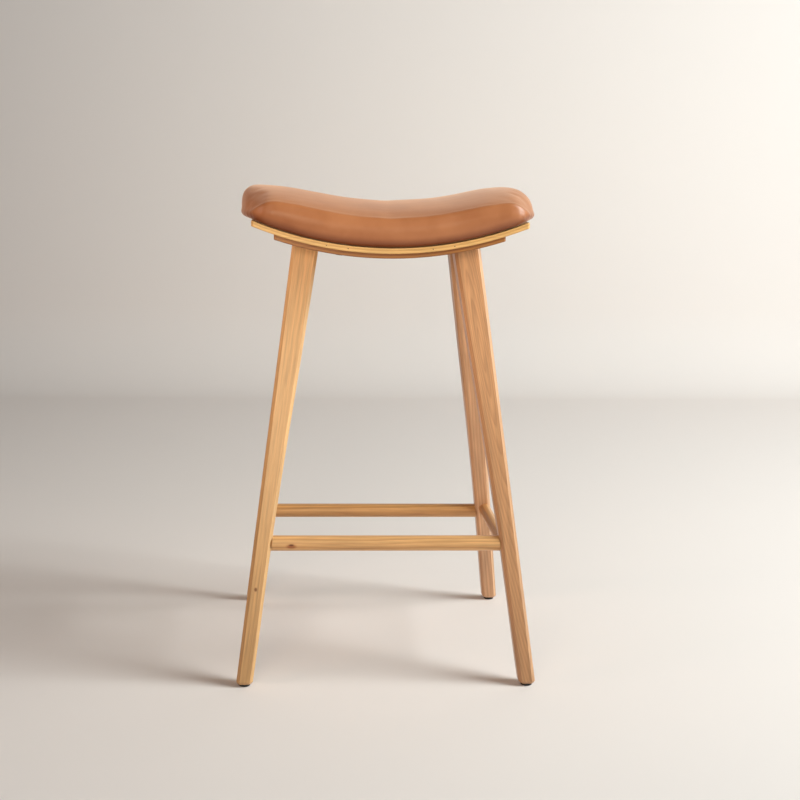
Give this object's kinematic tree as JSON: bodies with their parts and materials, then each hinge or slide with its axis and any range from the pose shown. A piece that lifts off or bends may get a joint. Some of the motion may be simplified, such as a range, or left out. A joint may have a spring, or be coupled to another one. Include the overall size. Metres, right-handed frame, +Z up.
{
  "type": "saddle-seat counter stool",
  "caption": "Backless counter stool: tan leather saddle cushion on a bent plywood shell, splayed square wooden legs and round stretchers",
  "frame": {"origin": "on the floor, under the middle of the seat", "axes": "+Z up; -Y the front, which faces the person who looks at the picture; +X to that person's right"},
  "size_m": [0.4148, 0.3644, 0.6818],
  "materials": {
    "tan_leather": "semi-gloss, fine grain",
    "seat_foam": "open-cell foam",
    "board_plywood": "raw",
    "shell_plywood": "clear satin",
    "plate_plywood": "clear satin",
    "leg_wood": "clear satin",
    "stretcher_wood": "clear satin",
    "dowel_wood": "raw",
    "glide_plastic": "matt",
    "dark_steel": "black oxide",
    "bright_steel": "zinc plated"
  },
  "bodies": {
    "root": {"leather_cover": "tan_leather", "foam_pad": "seat_foam", "cushion_board": "board_plywood", "cover_staples": "bright_steel", "seat_shell": "shell_plywood", "edge_brads": "bright_steel", "support_plate": "plate_plywood", "seat_bolts": "dark_steel", "seat_bolt_washers": "dark_steel", "seat_t_nuts": "bright_steel", "leg_screws": "bright_steel", "leg_dowels": "dowel_wood", "leg_front_left": "leg_wood", "leg_front_right": "leg_wood", "leg_back_left": "leg_wood", "leg_back_right": "leg_wood", "stretcher_front": "stretcher_wood", "stretcher_back": "stretcher_wood", "stretcher_left": "stretcher_wood", "stretcher_right": "stretcher_wood", "glide_front_left": "glide_plastic", "glide_front_right": "glide_plastic", "glide_back_left": "glide_plastic", "glide_back_right": "glide_plastic", "glide_nails": "bright_steel"}
  },
  "joints": []
}
